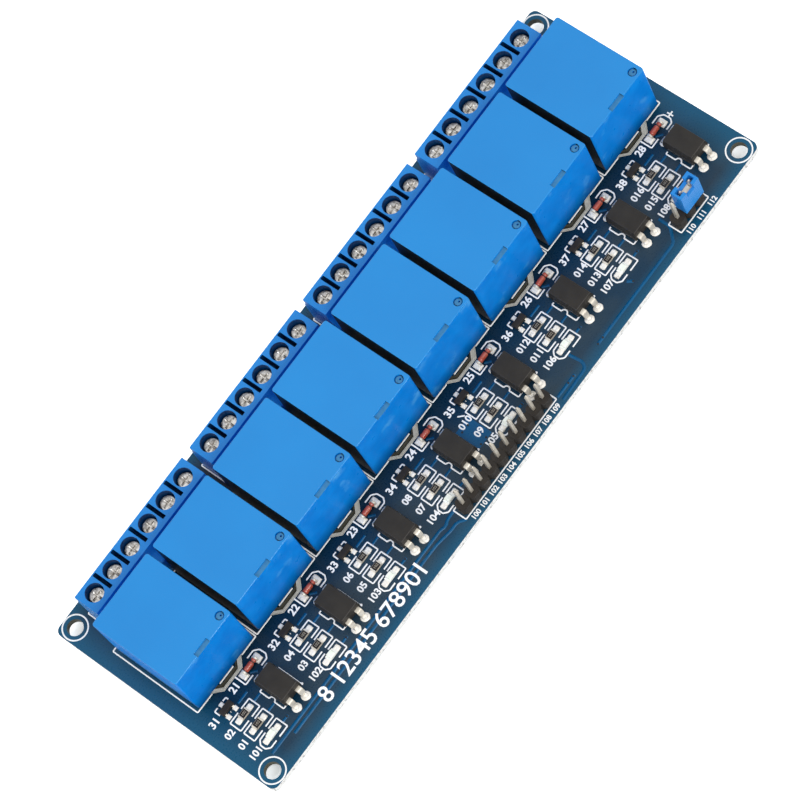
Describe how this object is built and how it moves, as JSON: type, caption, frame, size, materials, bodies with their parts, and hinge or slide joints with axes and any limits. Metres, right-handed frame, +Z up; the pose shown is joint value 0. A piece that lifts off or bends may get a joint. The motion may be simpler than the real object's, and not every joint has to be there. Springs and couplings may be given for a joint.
{
  "type": "relay module board",
  "caption": "Long relay board: a row of box relays between screw terminals and a driver section with optocouplers, a pin header and a jumper.",
  "frame": {"origin": "centre of the rectangle of mounting holes, on the underside of the circuit board", "axes": "+X along the board from channel 1 to channel 8, +Y from the pin header to the screw terminals, +Z up out of the component side"},
  "size_m": [0.14, 0.0506, 0.0187],
  "materials": {
    "solder_mask": "gloss",
    "relay_blue": "satin",
    "relay_base": "matt",
    "terminal_blue": "satin",
    "clamp_steel": "plated",
    "screw_steel": "plated",
    "tinned_metal": "tinned",
    "header_pin": "plated",
    "black_moulding": "matt",
    "diode_glass": "gloss",
    "lamp_white": "gloss"
  },
  "bodies": {
    "root": {"circuit_board": "solder_mask", "flyback_diodes": "diode_glass", "input_header_base": "black_moulding", "input_header_pins": "header_pin", "jumper_cap": "terminal_blue", "jumper_clip": "tinned_metal", "lamp_bases": "lamp_white", "lamp_lenses": "lamp_white", "optocoupler_body_1": "black_moulding", "optocoupler_body_2": "black_moulding", "optocoupler_body_3": "black_moulding", "optocoupler_body_4": "black_moulding", "optocoupler_body_5": "black_moulding", "optocoupler_body_6": "black_moulding", "optocoupler_body_7": "black_moulding", "optocoupler_body_8": "black_moulding", "optocoupler_leads": "tinned_metal", "power_header_base": "black_moulding", "power_header_pins": "header_pin", "relay_base_1": "relay_base", "relay_base_2": "relay_base", "relay_base_3": "relay_base", "relay_base_4": "relay_base", "relay_base_5": "relay_base", "relay_base_6": "relay_base", "relay_base_7": "relay_base", "relay_base_8": "relay_base", "relay_cover_1": "relay_blue", "relay_cover_2": "relay_blue", "relay_cover_3": "relay_blue", "relay_cover_4": "relay_blue", "relay_cover_5": "relay_blue", "relay_cover_6": "relay_blue", "relay_cover_7": "relay_blue", "relay_cover_8": "relay_blue", "relay_pins": "tinned_metal", "resistor_bodies": "black_moulding", "resistor_caps": "tinned_metal", "terminal_clamps_1": "clamp_steel", "terminal_clamps_2": "clamp_steel", "terminal_clamps_3": "clamp_steel", "terminal_clamps_4": "clamp_steel", "terminal_housing_1": "terminal_blue", "terminal_housing_2": "terminal_blue", "terminal_housing_3": "terminal_blue", "terminal_housing_4": "terminal_blue", "terminal_pins": "tinned_metal", "terminal_screws_1": "screw_steel", "terminal_screws_2": "screw_steel", "terminal_screws_3": "screw_steel", "terminal_screws_4": "screw_steel", "transistor_bodies": "black_moulding", "transistor_leads": "tinned_metal"}
  },
  "joints": []
}
